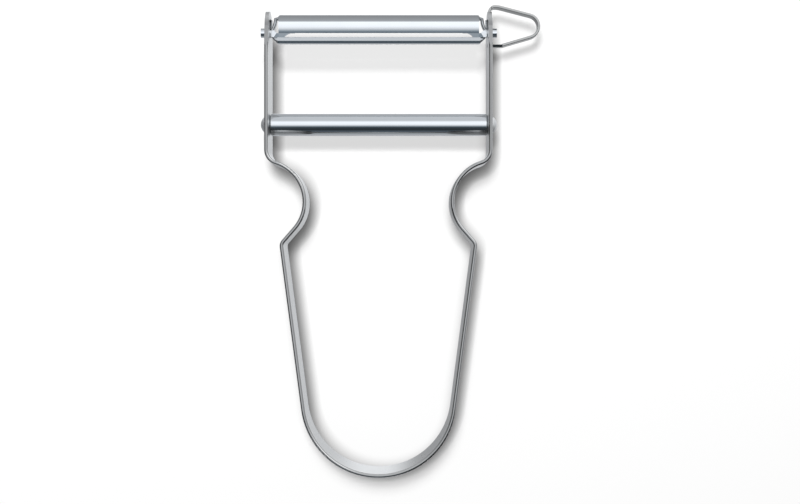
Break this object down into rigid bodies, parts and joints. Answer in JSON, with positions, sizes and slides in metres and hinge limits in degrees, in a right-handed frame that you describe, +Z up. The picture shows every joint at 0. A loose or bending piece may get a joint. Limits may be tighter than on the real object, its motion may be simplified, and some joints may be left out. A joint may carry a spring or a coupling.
{
  "type": "vegetable peeler",
  "caption": "Bow-shaped vegetable peeler of bent steel strip, with a swivelling slotted blade, a brace tube between its arms and a loop for digging out eyes.",
  "frame": {"origin": "centre of the part's box, on the face that it lies on", "axes": "+Y from the handle's bend to the blade, +X across the arms towards the eye remover, +Z up through the width of the strip"},
  "size_m": [0.0658, 0.1104, 0.012],
  "materials": {
    "bow_strip": "satin strip with rolled, brightened edges",
    "blade_steel": "polished sheet, satin where it is ground",
    "bar_polished": "polished tube with fine drawing lines",
    "rivet_steel": "smooth formed heads",
    "eye_strip": "satin strip"
  },
  "bodies": {
    "handle": {"bow": "bow_strip", "crossbar_tube": "bar_polished", "crossbar_rivet": "rivet_steel", "eye_remover": "eye_strip"},
    "swivel_blade": {"blade": "blade_steel"}
  },
  "joints": [
    {"name": "blade_swivel", "type": "hinge", "parent": "handle", "child": "swivel_blade", "pos_m": [-0.00505, 0.04883, 0.006], "axis": [1, 0, 0], "range_deg": [-30, 30]}
  ]
}
